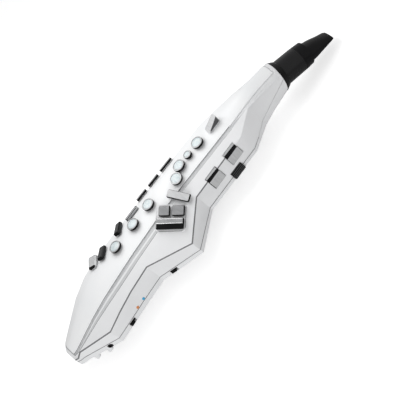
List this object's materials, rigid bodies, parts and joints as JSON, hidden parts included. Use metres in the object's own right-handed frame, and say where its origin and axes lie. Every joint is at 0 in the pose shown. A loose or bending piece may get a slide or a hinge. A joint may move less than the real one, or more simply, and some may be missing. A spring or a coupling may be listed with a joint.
{
  "type": "digital wind controller",
  "caption": "Electronic saxophone-style wind controller: white two-part body with a full key layout, side wing, roller, thumb hook and black beak mouthpiece",
  "frame": {"origin": "under the middle of the bounding box, at the height of its lowest point, which is the thumb hook", "axes": "+Y runs from the bell end to the mouthpiece, +Z comes out of the front face with the keys, +X points to the side with the wing"},
  "size_m": [0.1282, 0.573, 0.094],
  "materials": {
    "white_shell": "white moulded plastic with a satin gloss",
    "pearl_panel": "glossy white panel",
    "chrome": "bright plated",
    "dark_chrome": "black plated",
    "pearl": "mother-of-pearl look",
    "black_plastic": "satin black",
    "black_rubber": "soft satin black",
    "board": "green circuit board",
    "grey_rubber": "soft grey",
    "steel": "plain steel",
    "cell_sleeve": "printed sleeve, plain",
    "smoked_lens": "smoked window",
    "clear_tube": "translucent silicone"
  },
  "bodies": {
    "body": {"front_shell": "white_shell", "rear_shell": "white_shell", "front_panel": "pearl_panel", "neck_collar": "black_plastic", "breath_tube": "clear_tube", "breath_sensor": "black_plastic", "main_board": "board", "key_board": "board", "key_contact_sheet": "grey_rubber", "battery_pack": "cell_sleeve", "speaker_1": "black_plastic", "speaker_2": "black_plastic", "display_lens": "smoked_lens", "thumb_rest": "black_rubber", "phones_jack": "black_plastic", "case_screw_1": "steel", "case_screw_2": "steel", "case_screw_3": "steel", "case_screw_4": "steel"},
    "mouthpiece": {"mouthpiece_barrel": "black_plastic", "mouthpiece_beak": "black_rubber", "reed": "black_plastic"},
    "key_1": {"key_1_cap": "chrome", "key_1_pearl": "pearl"},
    "key_bis": {"key_bis_cap": "chrome", "key_bis_pearl": "pearl"},
    "key_2": {"key_2_cap": "chrome", "key_2_pearl": "pearl"},
    "key_3": {"key_3_cap": "chrome", "key_3_pearl": "pearl"},
    "key_4": {"key_4_cap": "chrome", "key_4_pearl": "pearl"},
    "key_5": {"key_5_cap": "chrome", "key_5_pearl": "pearl"},
    "key_6": {"key_6_cap": "chrome", "key_6_pearl": "pearl"},
    "front_f_key": {"front_f_key": "chrome"},
    "side_key_1": {"side_key_1": "dark_chrome"},
    "side_key_2": {"side_key_2": "dark_chrome"},
    "side_key_3": {"side_key_3": "dark_chrome"},
    "slim_key": {"slim_key": "chrome"},
    "g_sharp_key": {"g_sharp_key": "dark_chrome"},
    "low_e_flat_key": {"low_e_flat_key": "dark_chrome"},
    "low_c_key": {"low_c_key": "chrome"},
    "low_b_key": {"low_b_key": "chrome"},
    "low_c_sharp_key": {"low_c_sharp_key": "chrome"},
    "low_b_flat_key": {"low_b_flat_key": "dark_chrome"},
    "g_sharp_table_key": {"g_sharp_table_key": "chrome"},
    "octave_key_1": {"octave_key_1": "chrome"},
    "octave_key_2": {"octave_key_2": "chrome"},
    "menu_button_down": {"menu_button_down": "black_plastic"},
    "menu_button_up": {"menu_button_up": "black_plastic"},
    "palm_key_1": {"palm_key_1": "chrome"},
    "palm_key_2": {"palm_key_2": "chrome"},
    "power_switch": {"power_switch": "black_plastic"},
    "side_switch": {"side_switch": "black_plastic"},
    "thumb_hook": {"thumb_hook": "black_plastic"},
    "volume_roller": {"volume_roller": "black_plastic"},
    "strap_ring": {"strap_ring": "steel"},
    "battery_cover": {"battery_cover": "white_shell"}
  },
  "joints": [
    {"name": "mouthpiece_pull", "type": "slide", "parent": "body", "child": "mouthpiece", "axis": [0, 0.9617, -0.2741], "range_m": [0, 0.012]},
    {"name": "key_1_press", "type": "slide", "parent": "body", "child": "key_1", "axis": [0.0043, -0.0003, -1], "range_m": [0, 0.0015], "stiffness_N_per_m": 300, "springref_m": -0.001},
    {"name": "key_bis_press", "type": "slide", "parent": "body", "child": "key_bis", "axis": [0.0028, -0.0003, -1], "range_m": [0, 0.0015], "stiffness_N_per_m": 300, "springref_m": -0.001},
    {"name": "key_2_press", "type": "slide", "parent": "body", "child": "key_2", "axis": [0.0015, -0.0002, -1], "range_m": [0, 0.0015], "stiffness_N_per_m": 300, "springref_m": -0.001},
    {"name": "key_3_press", "type": "slide", "parent": "body", "child": "key_3", "axis": [-0.1745, -0.0001, -0.9846], "range_m": [0, 0.0015], "stiffness_N_per_m": 300, "springref_m": -0.001},
    {"name": "key_4_press", "type": "slide", "parent": "body", "child": "key_4", "axis": [0.0111, 0.0009, -0.9999], "range_m": [0, 0.0015], "stiffness_N_per_m": 300, "springref_m": -0.001},
    {"name": "key_5_press", "type": "slide", "parent": "body", "child": "key_5", "axis": [0.0363, 0.0123, -0.9993], "range_m": [0, 0.0015], "stiffness_N_per_m": 300, "springref_m": -0.001},
    {"name": "key_6_press", "type": "slide", "parent": "body", "child": "key_6", "axis": [0.057, 0.0471, -0.9973], "range_m": [0, 0.0015], "stiffness_N_per_m": 300, "springref_m": -0.001},
    {"name": "front_f_key_press", "type": "slide", "parent": "body", "child": "front_f_key", "axis": [0.0173, -0.006, -0.9998], "range_m": [0, 0.0015], "stiffness_N_per_m": 300, "springref_m": -0.001},
    {"name": "side_key_1_press", "type": "slide", "parent": "body", "child": "side_key_1", "axis": [0.4135, -0.0035, -0.9105], "range_m": [0, 0.0015], "stiffness_N_per_m": 300, "springref_m": -0.001},
    {"name": "side_key_2_press", "type": "slide", "parent": "body", "child": "side_key_2", "axis": [0.4132, 0.0023, -0.9106], "range_m": [0, 0.0015], "stiffness_N_per_m": 300, "springref_m": -0.001},
    {"name": "side_key_3_press", "type": "slide", "parent": "body", "child": "side_key_3", "axis": [0.4128, 0.0023, -0.9108], "range_m": [0, 0.0015], "stiffness_N_per_m": 300, "springref_m": -0.001},
    {"name": "slim_key_press", "type": "slide", "parent": "body", "child": "slim_key", "axis": [0.3569, 0.0174, -0.934], "range_m": [0, 0.0015], "stiffness_N_per_m": 300, "springref_m": -0.001},
    {"name": "g_sharp_key_press", "type": "slide", "parent": "body", "child": "g_sharp_key", "axis": [0.4034, 0.0168, -0.9149], "range_m": [0, 0.0015], "stiffness_N_per_m": 300, "springref_m": -0.001},
    {"name": "low_e_flat_key_press", "type": "slide", "parent": "body", "child": "low_e_flat_key", "axis": [0.325, 0.0475, -0.9445], "range_m": [0, 0.0015], "stiffness_N_per_m": 300, "springref_m": -0.001},
    {"name": "low_c_key_press", "type": "slide", "parent": "body", "child": "low_c_key", "axis": [0.405, 0.1142, -0.9072], "range_m": [0, 0.0015], "stiffness_N_per_m": 300, "springref_m": -0.001},
    {"name": "low_b_key_press", "type": "slide", "parent": "body", "child": "low_b_key", "axis": [-0.3793, -0.0076, -0.9252], "range_m": [0, 0.0015], "stiffness_N_per_m": 300, "springref_m": -0.001},
    {"name": "low_c_sharp_key_press", "type": "slide", "parent": "body", "child": "low_c_sharp_key", "axis": [-0.3793, -0.0076, -0.9252], "range_m": [0, 0.0015], "stiffness_N_per_m": 300, "springref_m": -0.001},
    {"name": "low_b_flat_key_press", "type": "slide", "parent": "body", "child": "low_b_flat_key", "axis": [-0.3793, -0.0076, -0.9252], "range_m": [0, 0.0015], "stiffness_N_per_m": 300, "springref_m": -0.001},
    {"name": "g_sharp_table_key_press", "type": "slide", "parent": "body", "child": "g_sharp_table_key", "axis": [-0.3793, -0.0076, -0.9252], "range_m": [0, 0.0015], "stiffness_N_per_m": 300, "springref_m": -0.001},
    {"name": "octave_key_1_press", "type": "slide", "parent": "body", "child": "octave_key_1", "axis": [0, 0, 1], "range_m": [0, 0.0015], "stiffness_N_per_m": 300, "springref_m": -0.001},
    {"name": "octave_key_2_press", "type": "slide", "parent": "body", "child": "octave_key_2", "axis": [0, 0, 1], "range_m": [0, 0.0015], "stiffness_N_per_m": 300, "springref_m": -0.001},
    {"name": "menu_button_down_press", "type": "slide", "parent": "body", "child": "menu_button_down", "axis": [0, 0, 1], "range_m": [0, 0.0015], "stiffness_N_per_m": 300, "springref_m": -0.001},
    {"name": "menu_button_up_press", "type": "slide", "parent": "body", "child": "menu_button_up", "axis": [0, 0, 1], "range_m": [0, 0.0015], "stiffness_N_per_m": 300, "springref_m": -0.001},
    {"name": "palm_key_1_press", "type": "slide", "parent": "body", "child": "palm_key_1", "axis": [-0.7922, 0, -0.6103], "range_m": [0, 0.0012], "stiffness_N_per_m": 300, "springref_m": -0.001},
    {"name": "palm_key_2_press", "type": "slide", "parent": "body", "child": "palm_key_2", "axis": [-0.7931, 0, -0.609], "range_m": [0, 0.0012], "stiffness_N_per_m": 300, "springref_m": -0.001},
    {"name": "power_switch_slide", "type": "slide", "parent": "body", "child": "power_switch", "axis": [-0.1091, 0.994, 0], "range_m": [0, 0.003]},
    {"name": "side_switch_slide", "type": "slide", "parent": "body", "child": "side_switch", "axis": [0.3982, 0.9173, 0], "range_m": [0, 0.003]},
    {"name": "thumb_hook_slide", "type": "slide", "parent": "body", "child": "thumb_hook", "axis": [0, 0.9998, 0.0184], "range_m": [-0.005, 0.005]},
    {"name": "volume_roller_turn", "type": "hinge", "parent": "body", "child": "volume_roller", "pos_m": [0.02296, 0.05638, 0.03607], "axis": [-0.0361, 0.9993, 0], "range_deg": [-140, 140]},
    {"name": "strap_ring_swing", "type": "hinge", "parent": "body", "child": "strap_ring", "pos_m": [-0.01986, -0.02528, 0.01894], "axis": [1, 0, 0], "range_deg": [-70, 70]},
    {"name": "battery_cover_swing", "type": "hinge", "parent": "body", "child": "battery_cover", "pos_m": [-0.01185, -0.20627, 0.02227], "axis": [-1, 0, 0], "range_deg": [0, 100]}
  ]
}
